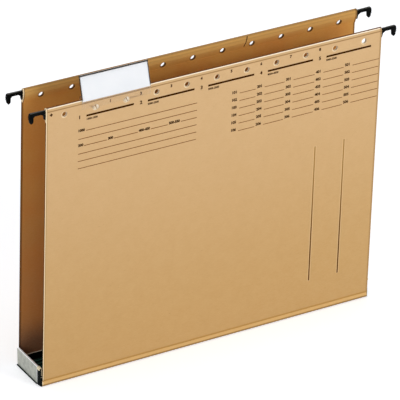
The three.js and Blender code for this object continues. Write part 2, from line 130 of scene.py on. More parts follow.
class Nodes:
    """Builds nodes in one tree: most methods give back an output that later nodes can use."""

    def __init__(self, tree):
        self.tree = tree

    def node(self, kind, **settings):
        made = self.tree.nodes.new(kind)
        for key, value in settings.items():
            setattr(made, key, value)
        return made

    def feed(self, socket, value):
        if isinstance(value, bpy.types.NodeSocket):
            self.tree.links.new(value, socket)
        else:
            socket.default_value = value

    def maths(self, operation, first, second=0.0, third=0.0):
        made = self.node("ShaderNodeMath", operation=operation)
        for socket, value in zip(made.inputs, (first, second, third)):
            self.feed(socket, value)
        return made.outputs[0]

    def times(self, first, second):
        return self.maths("MULTIPLY", first, second)

    def plus(self, first, second):
        return self.maths("ADD", first, second)

    def minus(self, first, second):
        return self.maths("SUBTRACT", first, second)

    def larger(self, first, second):
        return self.maths("MAXIMUM", first, second)

    def unsigned(self, value):
        return self.maths("ABSOLUTE", value)

    def spread(self, value, amount, start):
        """The start, plus the amount times the value."""
        return self.maths("MULTIPLY_ADD", value, amount, start)

    def pictured(self):
        """1 for a ray that starts at the camera or at a glossy or a clear surface, 0 for others."""
        path = self.node("ShaderNodeLightPath").outputs
        seen = self.larger(path["Is Camera Ray"], path["Is Glossy Ray"])
        return self.larger(seen, path["Is Transmission Ray"])


class Graph(Nodes):
    """A material, with its colour painted by places in the part's frame."""

    def __init__(self, name):
        self.material = bpy.data.materials.new(name)
        self.material.use_nodes = True
        super().__init__(self.material.node_tree)
        self.shader = self.tree.nodes["Principled BSDF"]
        self.place = self.node("ShaderNodeTexCoord").outputs["Object"]

    def set(self, **inputs):
        for key, value in inputs.items():
            self.feed(self.shader.inputs[key.replace("_", " ")], value)

    def noise(self, size, detail=3.0, roughness=0.55, stretch=(1, 1, 1)):
        """Cloudy noise from 0 to 1 with features of about the given size in metres."""
        scaled = self.node("ShaderNodeMapping")
        self.feed(scaled.inputs["Vector"], self.place)
        scaled.inputs["Scale"].default_value = [part / size for part in stretch]
        made = self.node("ShaderNodeTexNoise")
        self.feed(made.inputs["Vector"], scaled.outputs[0])
        made.inputs["Scale"].default_value = 1
        made.inputs["Detail"].default_value = detail
        made.inputs["Roughness"].default_value = roughness
        return made.outputs[0]

    def steps(self, value, low, high):
        """0 below low, 1 above high, smooth between."""
        made = self.node("ShaderNodeMapRange", interpolation_type="SMOOTHSTEP")
        self.feed(made.inputs["Value"], value)
        made.inputs["From Min"].default_value = low
        made.inputs["From Max"].default_value = high
        return made.outputs[0]

    def below(self, value, limit, soft):
        """1 where the value is below the limit, 0 where it is above it by more than soft."""
        return self.minus(1.0, self.steps(value, limit, limit + soft))

    def band(self, value, centre, half, soft):
        """1 within half of the centre, 0 beyond a soft edge."""
        return self.below(self.unsigned(self.minus(value, centre)), half, soft)

    def mix(self, share, first, second):
        """The first colour where the share is 0, the second where it is 1."""
        made = self.node("ShaderNodeMix", data_type="RGBA")
        self.feed(made.inputs[0], share)
        self.feed(made.inputs[6], first)
        self.feed(made.inputs[7], second)
        return made.outputs[2]

    def axes(self):
        parts = self.node("ShaderNodeSeparateXYZ")
        self.feed(parts.inputs[0], self.place)
        return parts.outputs

    def facing(self):
        """How far the surface faces along +X, +Y and +Z."""
        parts = self.node("ShaderNodeSeparateXYZ")
        self.feed(parts.inputs[0], self.node("ShaderNodeTexCoord").outputs["Normal"])
        return parts.outputs

    def bump(self, height, depth, strength):
        made = self.node("ShaderNodeBump")
        self.feed(made.inputs["Height"], height)
        made.inputs["Distance"].default_value = depth
        made.inputs["Strength"].default_value = strength
        self.tree.links.new(made.outputs[0], self.shader.inputs["Normal"])


def colour(red, green, blue):
    """A shader colour from the sRGB values 0 to 255 that it should look like."""
    def linear(value):
        share = value / 255
        return share / 12.92 if share <= 0.04045 else ((share + 0.055) / 1.055) ** 2.4
    return (linear(red), linear(green), linear(blue), 1)


# In the names of the materials' values, a range is where a noise or a facing starts to count and where
# it counts in full, a share is how much of a tone shows, a roughness is what its noise adds and where
# it starts, and a bump is a depth and a strength.

# Soft edges of painted strips and bands
SHARP = 0.1 * MM
SOFT = 0.2 * MM
SOFTER = 0.4 * MM

# Kraft board and its pulp
KRAFT = colour(214, 176, 128)
# Face tone at the foot: painted shade, darker towards the bottom
KRAFT_LOW = colour(200, 159, 102)
KRAFT_LIGHT = colour(224, 190, 143)
KRAFT_DARK = colour(196, 155, 103)
KRAFT_SHADE = colour(196, 160, 112)
KRAFT_BASE = colour(220, 177, 112)
KRAFT_FLECK = colour(150, 108, 62)
# Pale cream: fibres and cut edges, and painted highlights on the strip beside the left cut edge and the
# rings round the front holes
KRAFT_EDGE = colour(246, 222, 180)
# Pale tone of painted highlights: the front top fold, the front holes' walls and the sleeve's inner side
KRAFT_HIGHLIGHT = colour(255, 242, 216)
SHOULDER_CREASE = colour(150, 112, 66)
FOOT_CREASE = colour(184, 140, 76)
# Painted shade along the base board's foot
KRAFT_FOOT_SHADE = colour(138, 104, 54)
# Painted shade on the face's side strips
EDGE_SHADE_FACE = colour(160, 124, 78)
CLOUD = 9 * MM
CLOUD_RANGE = (0.3, 0.7)
CLOUD_SHARE = 0.08
CLOUD_HEIGHT = 2.0  # times the fibres' height
FIBRE = 0.45 * MM
FIBRE_STRETCH = (0.16, 1, 1)
FIBRE_RANGE = (0.35, 0.75)
FIBRE_SHARE = 0.06
FLECK = 0.8 * MM
FLECK_STRETCH = (0.5, 1, 1)
FLECK_RANGE = (0.70, 0.78)
FLECK_SHARE = 0.22
BOARD_BUMP = (0.05 * MM, 0.5)

# The panels' inner side: a warmer tone, partly its own and partly painted shade of the deep folder
LINING = colour(212, 156, 76)
# Lining tone lower down: painted shade
LINING_LOW = colour(194, 132, 74)
# Painted shade at the lining's foot
LINING_FOOT_SHADE = colour(144, 100, 70)
# Golden band under the top fold: the hem's kraft with painted light
LINING_GOLD = colour(208, 160, 88)
LINING_RED = colour(206, 128, 58)
# Painted shade behind the front top fold's highlight, and on the rings round the back panel's holes
LINING_RIM_SHADE = colour(132, 88, 42)
# Cut edges below the sleeve: the board's brown core, darkened as painted shade
LINING_EDGE = colour(66, 42, 16)
# Painted shade: inner side strips, the back holes' walls and beside the slit
LINING_SHADE = colour(70, 42, 18)
STAIN = 30 * MM
STAIN_RANGE = (0.25, 0.75)
STAIN_SHARE = 0.45
GOLD_FROM = FOLDER_TOP - 12 * MM
GOLD_TO = FOLDER_TOP - 4 * MM
# The lining's painted shade at the foot fades out between these heights
DARK_FOOT_TO = 16 * MM
DARK_FOOT_FADE = 30 * MM

# Painted strips of the panels
PANEL_SKIN = 0.4 * BOARD
# From this height up to the top fold the face and the lining lighten out of their painted shade
PALE_FROM = 20 * MM
HEM_SHARE = 0.35
# Tan painted shade on the back panel's top fold
BACK_RIM_SHADE = colour(170, 130, 76)
FOLD_SHADE = colour(108, 62, 22)
RIM_STRIP = 1.4 * MM
RIM_FULL = 0.4 * RIM_STRIP
RIM_BACK = OUTER_FACE - 0.95 * MM
RIM_SHADE = 2.4 * MM
SHOULDER_HALF = 0.3 * MM
SHOULDER_SHARE = 0.2
SHOULDER_FRONT_SHARE = 0.55
CREASE_HALF = 0.1 * MM
MARGIN_PALE_HALF = 1.2 * MM
MARGIN_PALE_END = 1 * MM
MARGIN_PALE_SHARE = 0.5
SLEEVE_SOFT = 1 * MM
# Width of the side strips of painted shade
EDGE_SHADE_STRIP = 1.9 * MM
EDGE_SHADE_SOFT = 0.6 * MM
EDGE_SHADE_SHARE = 0.6
# Width of the painted highlight beside the left cut edge
PALE_STRIP = 0.7 * MM
CUT_SKIN = 0.02 * MM
# Rings round the holes: painted highlight on the printed face, painted shade on the back panel
RING = 0.6 * MM
RING_FULL = HOLE_RADIUS + RING / 3
RING_SHIFT = 0.45 * MM
RING_SHARE = 0.65
SLIT_SHADE = 0.35 * MM


def fibres(graph, base, cloud_share):
    """Kraft board on a base colour: clouds in the pulp, long fibres, and a few dark flecks."""
    clouds = graph.noise(CLOUD, detail=5, roughness=0.7)
    fibre = graph.noise(FIBRE, stretch=FIBRE_STRETCH)
    flecks = graph.steps(graph.noise(FLECK, detail=1, stretch=FLECK_STRETCH), *FLECK_RANGE)
    cloud_tone = graph.mix(graph.steps(clouds, *CLOUD_RANGE), KRAFT_DARK, KRAFT_LIGHT)
    tone = graph.mix(cloud_share, base, cloud_tone)
    tone = graph.mix(graph.times(graph.steps(fibre, *FIBRE_RANGE), FIBRE_SHARE), tone, KRAFT_EDGE)
    tone = graph.mix(graph.times(flecks, FLECK_SHARE), tone, KRAFT_FLECK)
    graph.bump(graph.spread(clouds, CLOUD_HEIGHT, fibre), *BOARD_BUMP)
    graph.set(Roughness=0.82, Specular_IOR_Level=0.12)
    return tone


class PanelPlaces:
    """Places on a panel: lengths in metres, and values that are 1 on the outer side, the inner side,
    the front panel, its printed side or the sleeve, and 0 elsewhere."""

    def __init__(self, graph):
        self.x, self.y, self.z = graph.axes()
        self.side = graph.unsigned(self.x)
        self.depth = graph.unsigned(self.y)
        self.outer = graph.steps(self.depth, OUTER_FACE - BOARD, OUTER_FACE - PANEL_SKIN)
        self.inner = graph.minus(1.0, self.outer)
        self.front = graph.maths("LESS_THAN", self.y, 0.0)
        self.printed = graph.times(self.front, self.outer)
        sleeve_foot = FOLDER_TOP - SLEEVE_DROP
        self.sleeve = graph.steps(self.z, sleeve_foot - SLEEVE_SOFT, sleeve_foot)


def two_sides(graph, at):
    """The pale outer face, with painted shade towards its foot and above the shoulder crease, and the
    inner lining: redder in places, golden under the top fold as the hem's kraft with painted light, and
    with painted shade towards and at the foot."""
    height = graph.steps(at.z, PALE_FROM, FOLDER_TOP)
    hem = graph.steps(at.z, FOLDER_TOP - SHOULDER_DROP - SOFTER, FOLDER_TOP - SHOULDER_DROP)
    face = graph.mix(height, KRAFT_LOW, KRAFT)
    face = graph.mix(graph.times(hem, HEM_SHARE), face, KRAFT_SHADE)
    stains = graph.steps(graph.noise(STAIN, detail=1), *STAIN_RANGE)
    lining = graph.mix(height, LINING_LOW, LINING)
    lining = graph.mix(graph.times(stains, STAIN_SHARE), lining, LINING_RED)
    lining = graph.mix(graph.steps(at.z, GOLD_FROM, GOLD_TO), lining, LINING_GOLD)
    above_foot = graph.steps(at.z, DARK_FOOT_TO, DARK_FOOT_TO + DARK_FOOT_FADE)
    lining = graph.mix(above_foot, LINING_FOOT_SHADE, lining)
    return graph.mix(at.inner, face, lining)


def rims(graph, at, tone):
    """The top folds: a pale painted highlight on the front panel, with painted shade behind it, and a tan
    painted shade on the back one.
    """
    rim = graph.steps(at.z, FOLDER_TOP - RIM_STRIP, FOLDER_TOP - RIM_FULL)
    near_side = graph.steps(at.depth, RIM_BACK, RIM_BACK + SHARP)
    shade = graph.band(at.depth, RIM_BACK - RIM_SHADE / 2, RIM_SHADE / 2, SOFT)
    front_rim = graph.mix(near_side, graph.mix(shade, LINING_RIM_SHADE, FOLD_SHADE), KRAFT_HIGHLIGHT)
    return graph.mix(rim, tone, graph.mix(at.front, BACK_RIM_SHADE, front_rim))


def creases(graph, at, tone):
    """The shoulder crease, darkest on the printed side, and the crease that the panel folds at."""
    shoulder = graph.band(at.z, FOLDER_TOP - SHOULDER_DROP, SHOULDER_HALF, SOFTER)
    share = graph.spread(at.printed, SHOULDER_FRONT_SHARE, SHOULDER_SHARE)
    tone = graph.mix(graph.times(shoulder, share), tone, SHOULDER_CREASE)
    return graph.mix(graph.band(at.z, CREASE, CREASE_HALF, SOFTER), tone, FOOT_CREASE)


def beside_margin_lines(graph, at, tone):
    """The pressed board in and beside the two margin lines looks paler."""
    near = 0.0
    for across in MARGIN_LINES:
        near = graph.larger(near, graph.band(at.x, across - HALF_WIDTH, MARGIN_PALE_HALF, SOFTER))
    middle = FOLDER_TOP - (MARGIN_TOP + MARGIN_BOTTOM) / 2
    along = graph.band(at.z, middle, (MARGIN_BOTTOM - MARGIN_TOP) / 2, MARGIN_PALE_END)
    share = graph.times(graph.times(graph.times(near, along), at.printed), MARGIN_PALE_SHARE)
    return graph.mix(share, tone, KRAFT_LIGHT)


def cut_edges(graph, side):
    """1 on the cut edges at the sides."""
    return graph.maths("GREATER_THAN", side, HALF_WIDTH - CUT_SKIN)


def pale_strip(graph, x):
    """1 on a narrow strip of the face beside the left cut edge, where a painted highlight goes."""
    return graph.below(x, PALE_STRIP - HALF_WIDTH, SOFT)


def side_edges(graph, at, tone):
    """Painted shade along the side strips, a painted highlight on a strip beside the left cut edge, and the
    cut edges: cream at the sleeve and dark below it, partly the board's core and partly painted highlight
    and painted shade."""
    strip_start = HALF_WIDTH - EDGE_SHADE_STRIP
    edge_shade = graph.steps(at.side, strip_start, strip_start + EDGE_SHADE_SOFT)
    edge_shade_tone = graph.mix(at.inner, EDGE_SHADE_FACE, LINING_SHADE)
    tone = graph.mix(graph.times(edge_shade, EDGE_SHADE_SHARE), tone, edge_shade_tone)
    pale = graph.times(pale_strip(graph, at.x), graph.larger(at.front, at.sleeve))
    tone = graph.mix(pale, tone, KRAFT_EDGE)
    return graph.mix(cut_edges(graph, at.side), tone, graph.mix(at.sleeve, LINING_EDGE, KRAFT_EDGE))


def hole_distance(graph, at, shift=0.0):
    """Distance to the middle of the nearest punched hole, or to a point shifted left and down from it.
    Four more whole pitches keep the remainder positive at the left edge."""
    first_hole = HOLE_EDGE_DISTANCE - HALF_WIDTH
    across = graph.plus(at.x, (4 + 0.5) * HOLE_PITCH - first_hole + shift)
    across = graph.minus(graph.maths("MODULO", across, HOLE_PITCH), HOLE_PITCH / 2)
    down = graph.minus(at.z, FOLDER_TOP - HOLE_DROP - shift / 2)
    squares = graph.plus(graph.times(across, across), graph.times(down, down))
    return graph.maths("SQRT", squares)


def punched_holes(graph, at, tone):
    """A ring around each hole: a painted highlight on the printed face and painted shade on the back
    panel; and the hole's wall inside the board: a painted highlight on the front panel and painted shade
    on the back one.
    """
    # The ring is centred left of and below the hole, so its painted highlight is widest at the lower left
    pressed = hole_distance(graph, at, RING_SHIFT)
    ring = graph.times(graph.below(pressed, RING_FULL, RING), RING_SHARE)
    tone = graph.mix(ring, tone, graph.mix(at.printed, LINING_RIM_SHADE, KRAFT_EDGE))
    wall = graph.times(graph.below(hole_distance(graph, at), HOLE_RADIUS, SHARP), at.inner)
    return graph.mix(wall, tone, graph.mix(at.front, LINING_SHADE, KRAFT_HIGHLIGHT))


def slit_shade(graph, at, tone):
    """Painted shade on the board beside the slanted slit in the inner layer of the back hem."""
    cosine, sine = math.cos(SLIT_LEAN), math.sin(SLIT_LEAN)
    middle_x = -HALF_WIDTH + HOLE_EDGE_DISTANCE + SLIT_HOLE * HOLE_PITCH - SLIT_OFFSET
    middle_z = FOLDER_TOP - SLIT_TOP_DROP - SLIT_LENGTH / 2 * cosine
    right = graph.minus(at.x, middle_x)
    up = graph.minus(at.z, middle_z)
    across = graph.minus(graph.times(right, cosine), graph.times(up, sine))
    along = graph.plus(graph.times(right, sine), graph.times(up, cosine))
    near = graph.times(graph.below(graph.unsigned(across), SLIT_SHADE, SOFT),
                       graph.below(graph.unsigned(along), SLIT_LENGTH / 2, SOFT))
    back_hem = graph.times(graph.maths("GREATER_THAN", at.y, 0.0),
                           graph.below(at.y, OUTER_FACE - BOARD, SHARP))
    return graph.mix(graph.times(near, back_hem), tone, LINING_SHADE)


def sleeve_lining(graph, at, tone):
    """The inner layer's side towards the sleeve gets a pale painted highlight, and shows through the holes
    in front of it.
    """
    outward = graph.times(at.y, graph.facing()[1])
    outward = graph.maths("GREATER_THAN", outward, OUTER_FACE / 2)
    inner_layer = graph.below(at.depth, OUTER_FACE - 2 * BOARD, SHARP)
    return graph.mix(graph.times(outward, inner_layer), tone, KRAFT_HIGHLIGHT)


def panel_board():
    """Board of both panels, painted from its two sides to its edges, holes and sleeve."""
    graph = Graph("panel_board")
    at = PanelPlaces(graph)
    tone = fibres(graph, two_sides(graph, at), graph.times(at.outer, CLOUD_SHARE))
    tone = rims(graph, at, tone)
    tone = creases(graph, at, tone)
    tone = beside_margin_lines(graph, at, tone)
    tone = side_edges(graph, at, tone)
    tone = punched_holes(graph, at, tone)
    tone = slit_shade(graph, at, tone)
    tone = sleeve_lining(graph, at, tone)
    graph.set(Base_Color=tone)
    return graph.material


# Base board, with painted shade along its foot, and the pressed board of the creases
FOOT_SHADE_TO = 1.7 * MM
FOOT_SHADE_SOFT = 0.9 * MM
FOOT_SHADE_SHARE = 0.8
PRESSED_SHARE = 0.75


def base_board():
    graph = Graph("base_board")
    x, _, z = graph.axes()
    tone = fibres(graph, KRAFT_BASE, CLOUD_SHARE)
    tone = graph.mix(graph.band(z, CREASE, CREASE_HALF, SOFTER), tone, FOOT_CREASE)
    # Pale cut edges and a strip beside the left one: partly the board's core, partly painted highlight
    pale = graph.larger(cut_edges(graph, graph.unsigned(x)), pale_strip(graph, x))
    tone = graph.mix(pale, tone, KRAFT_EDGE)
    # Painted shade along the foot
    foot_shade = graph.below(z, FOOT_SHADE_TO, FOOT_SHADE_SOFT)
    graph.set(Base_Color=graph.mix(graph.times(foot_shade, FOOT_SHADE_SHARE), tone, KRAFT_FOOT_SHADE))
    return graph.material


def crease_board():
    """Board that the fold has pressed: its fibres show only faintly."""
    graph = Graph("crease_board")
    tone = fibres(graph, FOOT_CREASE, CLOUD_SHARE)
    graph.set(Base_Color=graph.mix(PRESSED_SHARE, tone, FOOT_CREASE))
    return graph.material


# Moulded plastic of the hooks and the tray
MOULDING_GRAIN = 0.25 * MM
MOULDING_ROUGHNESS = (0.2, 0.4)
MOULDING_BUMP = (0.02 * MM, 0.4)
HOOK_CLOUD = 3 * MM
HOOK_RANGE = (0.45, 0.75)
HOOK_BLACK = colour(3, 4, 4)
HOOK_WORN = colour(15, 17, 16)
# Painted highlight on the hooks' upward faces
HOOK_TOP_HIGHLIGHT = colour(120, 118, 110)
HOOK_TOP_RANGE = (0.9, 1.0)
HOOK_TOP_SHARE = 0.35
TRAY_CLOUD = 6 * MM
TRAY_RANGE = (0.35, 0.7)
UPWARD_RANGE = (0.7, 0.9)
TRAY_BLACK = colour(6, 10, 9)
TRAY_WORN = colour(12, 22, 20)
# Upward faces: the tray's dark green, made lighter as painted light
TRAY_FLOOR = colour(30, 54, 48)
# Painted highlights on the rib tops and the wall tops
TRAY_RIB = colour(62, 108, 98)
TRAY_WALL_HIGHLIGHT = colour(206, 196, 176)
FLOOR_SHARE = 0.8
RIB_SHARE = 0.8
WALL_HIGHLIGHT_SHARE = 0.9


def moulded(graph, tone):
    """Fine grain and low gloss of a moulding."""
    grain = graph.noise(MOULDING_GRAIN, detail=2)
    graph.set(Base_Color=tone, Specular_IOR_Level=0.03)
    graph.set(Roughness=graph.spread(grain, *MOULDING_ROUGHNESS))
    graph.bump(grain, *MOULDING_BUMP)
    return graph.material


def hook_moulding():
    """Black moulded plastic, worn in places, with a painted highlight where it faces up."""
    graph = Graph("hook_plastic")
    worn = graph.steps(graph.noise(HOOK_CLOUD), *HOOK_RANGE)
    top_highlight = graph.times(graph.steps(graph.facing()[2], *HOOK_TOP_RANGE), HOOK_TOP_SHARE)
    return moulded(graph, graph.mix(top_highlight, graph.mix(worn, HOOK_BLACK, HOOK_WORN), HOOK_TOP_HIGHLIGHT))


def tray_moulding():
    """Black-green moulded plastic: lighter and greener where it faces up, as painted light, with painted
    highlights on the rib tops and the wall tops.
    """
    graph = Graph("tray_plastic")
    z = graph.axes()[2]
    worn = graph.steps(graph.noise(TRAY_CLOUD), *TRAY_RANGE)
    up = graph.steps(graph.facing()[2], *UPWARD_RANGE)
    ribs = graph.times(up, graph.band(z, RIB_TOP, SOFT, SHARP))
    walls = graph.times(up, graph.band(z, TRAY_WALL_TOP, SOFT, SHARP))
    tone = graph.mix(worn, TRAY_BLACK, TRAY_WORN)
    tone = graph.mix(graph.times(up, FLOOR_SHARE), tone, TRAY_FLOOR)
    tone = graph.mix(graph.times(ribs, RIB_SHARE), tone, TRAY_RIB)
    tone = graph.mix(graph.times(walls, WALL_HIGHLIGHT_SHARE), tone, TRAY_WALL_HIGHLIGHT)
    return moulded(graph, tone)


# Sheet metal
DRAWN_LINE = 0.18 * MM
DRAWN_RANGE = (0.3, 0.8)
DRAWN_SHARE = 0.35
BLOOM = 5 * MM
BLOOM_RANGE = (0.3, 0.75)
METAL_SPREAD = 0.2
METAL_BUMP = (0.01 * MM, 0.3)
PLATE_GREY = colour(198, 200, 188)
PLATE_DULL = colour(160, 163, 152)
# Painted highlight on the plate's folded rim and front edge
PLATE_HIGHLIGHT = colour(252, 252, 252)
PLATE_RUN = (1, 0.05, 1)
PLATE_RIM_FROM = 0.8 * MM
PLATE_RIM_FULL = 0.5 * MM
PLATE_FRONT = 0.4 * MM
RAIL_GREY = colour(168, 170, 172)
RAIL_DULL = colour(140, 142, 144)
RAIL_RUN = (0.04, 1, 1)


def sheet_metal(name, base, dull, roughness, run, metallic):
    """Rolled metal: fine drawn lines along one way and a dull bloom. Gives back the graph and the tone."""
    graph = Graph(name)
    lines = graph.noise(DRAWN_LINE, detail=4, stretch=run)
    bloom = graph.noise(BLOOM, detail=4)
    tone = graph.mix(graph.steps(bloom, *BLOOM_RANGE), base, dull)
    drawn = graph.times(graph.steps(lines, *DRAWN_RANGE), DRAWN_SHARE)
    tone = graph.mix(drawn, tone, dull)
    graph.set(Base_Color=tone, Metallic=metallic)
    graph.set(Roughness=graph.spread(lines, METAL_SPREAD, roughness - METAL_SPREAD / 2))
    graph.bump(lines, *METAL_BUMP)
    return graph, tone


def plate_metal():
    """Grey sheet metal with a painted highlight on its front edge and its folded rim."""
    graph, tone = sheet_metal("plate_metal", PLATE_GREY, PLATE_DULL,
                              roughness=0.45, run=PLATE_RUN, metallic=0.3)
    y, z = graph.axes()[1:]
    rim = graph.steps(z, PLATE_HIGH.z - PLATE_RIM_FROM, PLATE_HIGH.z - PLATE_RIM_FULL)
    front = graph.below(y, PLATE_LOW.y + PLATE_FRONT, SOFT)
    graph.set(Base_Color=graph.mix(graph.larger(rim, front), tone, PLATE_HIGHLIGHT))
    return graph.material


def rail_steel():
    graph, _ = sheet_metal("rail_steel", RAIL_GREY, RAIL_DULL,
                           roughness=0.35, run=RAIL_RUN, metallic=0.9)
    return graph.material


# Cream board of the corner clips
CREAM_DARK = colour(244, 226, 182)
CREAM_LIGHT = colour(252, 242, 212)
CREAM_FIBRE = 0.3 * MM
CREAM_STRETCH = (1, 1, 0.2)
CREAM_BUMP = (0.03 * MM, 0.5)


def cream_board():
    graph = Graph("cream_board")
    fibre = graph.noise(CREAM_FIBRE, stretch=CREAM_STRETCH)
    graph.set(Base_Color=graph.mix(fibre, CREAM_DARK, CREAM_LIGHT), Roughness=0.7)
    graph.bump(fibre, *CREAM_BUMP)
    return graph.material


# Clear film of the tab, and the thicker heads of its pegs
FILM = colour(246, 249, 250)
# Painted glints on the saddle's ends and on the peg heads
FILM_GLINT = colour(255, 250, 236)
# Grey painted shadow line at the fold under the window
FILM_FOLD_SHADE = colour(112, 98, 78)
# Painted shade on the window's ends and top
FILM_SHADE = colour(48, 36, 26)
FILM_MILKY = colour(236, 208, 164)
FILM_SCUFF = 1.4 * MM
FILM_STRETCH = (0.4, 1, 1)
FILM_ROUGHNESS = (0.12, 0.04)
SIDEWAYS_RANGE = (0.8, 0.95)
# Streaks on the peg heads: painted glints, also their roughness and bumps
HEAD_STREAK = 0.5 * MM
HEAD_STRETCH = (1, 1, 0.3)
HEAD_RANGE = (0.4, 0.7)
HEAD_ROUGHNESS = (0.2, 0.2)
HEAD_BUMP = (0.03 * MM, 0.5)
WINDOW_MARGIN = 0.5 * MM
WINDOW_END = 0.3 * MM
WINDOW_TOP = 1.1 * MM
FILM_FOLD_HALF = 0.25 * MM
FILM_FOLD_SOFT = 0.15 * MM
FILM_FRONT = 0.4 * MM
SHADE_SEEN = 0.8
GLINT_SEEN = 0.4
FOLD_SHADE_SEEN = 0.45
FILM_SEEN = 0.035


def clear_film():
    """Clear film: nearly see-through, with faint scuffs. The ends and the top of the window get painted
    shade, the saddle's ends get painted glints, and the fold under the window gets a grey painted shadow
    line."""
    graph = Graph("clear_film")
    x, y, z = graph.axes()
    window = graph.steps(z, FOLDER_TOP - WINDOW_MARGIN, FOLDER_TOP + WINDOW_MARGIN)
    side = graph.unsigned(graph.minus(x, (TAB_LOW.x + TAB_HIGH.x) / 2))
    tab_half = (TAB_HIGH.x - TAB_LOW.x) / 2
    ends = graph.steps(side, tab_half - WINDOW_END - SOFT, tab_half - WINDOW_END)
    top = graph.steps(z, TAB_HIGH.z - WINDOW_TOP - SOFT, TAB_HIGH.z - WINDOW_TOP)
    dark = graph.larger(graph.times(ends, window), top)
    sideways = graph.steps(graph.unsigned(graph.facing()[0]), *SIDEWAYS_RANGE)
    pale = graph.times(sideways, graph.minus(1.0, window))
    fold = graph.band(z, FOLDER_TOP - WINDOW_DROP, FILM_FOLD_HALF, FILM_FOLD_SOFT)
    fold = graph.times(fold, graph.maths("LESS_THAN", y, -OUTER_FACE - FILM_FRONT))
    scuffs = graph.noise(FILM_SCUFF, detail=5, stretch=FILM_STRETCH)
    tone = graph.mix(pale, FILM, FILM_GLINT)
    tone = graph.mix(fold, tone, FILM_FOLD_SHADE)
    graph.set(Base_Color=graph.mix(dark, tone, FILM_SHADE))
    graph.set(Roughness=graph.spread(scuffs, *FILM_ROUGHNESS))
    seen = graph.larger(graph.times(dark, SHADE_SEEN), graph.times(pale, GLINT_SEEN))
    seen = graph.larger(seen, graph.times(fold, FOLD_SHADE_SEEN))
    graph.set(Alpha=graph.plus(seen, FILM_SEEN))
    return graph.material


def frosted_film():
    """The same film where it is moulded thick: milky, with brighter streaks that are painted glints."""
    graph = Graph("frosted_film")
    scuffs = graph.noise(HEAD_STREAK, stretch=HEAD_STRETCH)
    tone = graph.mix(graph.steps(scuffs, *HEAD_RANGE), FILM_MILKY, FILM_GLINT)
    graph.set(Base_Color=tone, Roughness=graph.spread(scuffs, *HEAD_ROUGHNESS), Alpha=0.75)
    graph.bump(scuffs, *HEAD_BUMP)
    return graph.material


# Label paper
PAPER = colour(238, 240, 243)
PAPER_LIGHT = colour(244, 245, 247)
PAPER_SHADE = colour(228, 230, 234)
PAPER_FIBRE = 0.35 * MM
PAPER_FIBRE_SHARE = 0.25
PAPER_CLOUD = 14 * MM
PAPER_RANGE = (0.3, 0.7)
PAPER_BUMP = (0.02 * MM, 0.4)


def label_paper():
    graph = Graph("label_paper")
    fibre = graph.noise(PAPER_FIBRE, detail=4)
    clouds = graph.noise(PAPER_CLOUD)
    tone = graph.mix(graph.steps(clouds, *PAPER_RANGE), PAPER, PAPER_LIGHT)
    tone = graph.mix(graph.times(fibre, PAPER_FIBRE_SHARE), tone, PAPER_SHADE)
    graph.set(Base_Color=tone, Roughness=0.85)
    graph.bump(fibre, *PAPER_BUMP)
    return graph.material


# Printing inks, each with the tone that it has where it is worn
BAR_INK = (colour(58, 28, 2), colour(80, 44, 8))
LINE_INK = (colour(112, 66, 20), colour(148, 100, 48))
NUMBER_INK = (colour(52, 28, 6), colour(88, 56, 22))
MARGIN_INK = (colour(88, 52, 4), colour(118, 76, 20))
MARGIN_FAINT = colour(168, 128, 68)
MARGIN_FULL_DROP = 0.9 * MARGIN_BOTTOM
INK_FIBRE = 0.4 * MM
INK_STRETCH = (0.3, 1, 1)
INK_RANGE = (0.45, 0.8)


def ink(name, dark, worn, faint=None):
    """Ink soaked into kraft board, lighter where the fibres show through. A faint tone, where it is
    given, takes over towards the top of the margin lines."""
    graph = Graph(name)
    fibre = graph.noise(INK_FIBRE, stretch=INK_STRETCH)
    tone = graph.mix(graph.steps(fibre, *INK_RANGE), dark, worn)
    if faint:
        fade = graph.steps(graph.axes()[2], FOLDER_TOP - MARGIN_FULL_DROP, FOLDER_TOP - MARGIN_TOP)
        tone = graph.mix(fade, tone, faint)
    graph.set(Base_Color=tone, Roughness=0.8, Specular_IOR_Level=0.02)
    return graph.material


def dress(nodes, material):
    for node in nodes:
        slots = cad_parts[node].data.materials
        slots.clear()
        slots.append(material)


# Mesh pieces

def new_piece(name, mesh_builder, material, smooth=False):
    mesh = bmesh.new()
    mesh_builder(mesh)
    bmesh.ops.recalc_face_normals(mesh, faces=mesh.faces)
    data = bpy.data.meshes.new(name)
    mesh.to_mesh(data)
    mesh.free()
    data.materials.append(material)
    for face in data.polygons:
        face.use_smooth = smooth
    piece = bpy.data.objects.new(name, data)
    bpy.context.scene.collection.objects.link(piece)
    return piece


def add_block(mesh, low, high):
    made = bmesh.ops.create_cube(mesh, size=1)["verts"]
    size = Vector(high) - Vector(low)
    middle = (Vector(high) + Vector(low)) / 2
    bmesh.ops.scale(mesh, verts=made, vec=size)
    bmesh.ops.translate(mesh, verts=made, vec=middle)


def arc(centre_x, centre_z, radius, start, end, steps):
    """Points on an arc, with angles in degrees."""
    points = []
    for step in range(steps + 1):
        angle = math.radians(start + (end - start) * step / steps)
        points.append((centre_x + radius * math.cos(angle), centre_z + radius * math.sin(angle)))
    return points


def curve(start, control, end, steps):
    """Points on a quadratic curve, without its first point."""
    points = []
    for step in range(1, steps + 1):
        t = step / steps
        weights = ((1 - t) ** 2, 2 * t * (1 - t), t * t)
        points.append(tuple(sum(w * p[i] for w, p in zip(weights, (start, control, end))) for i in (0, 1)))
    return points


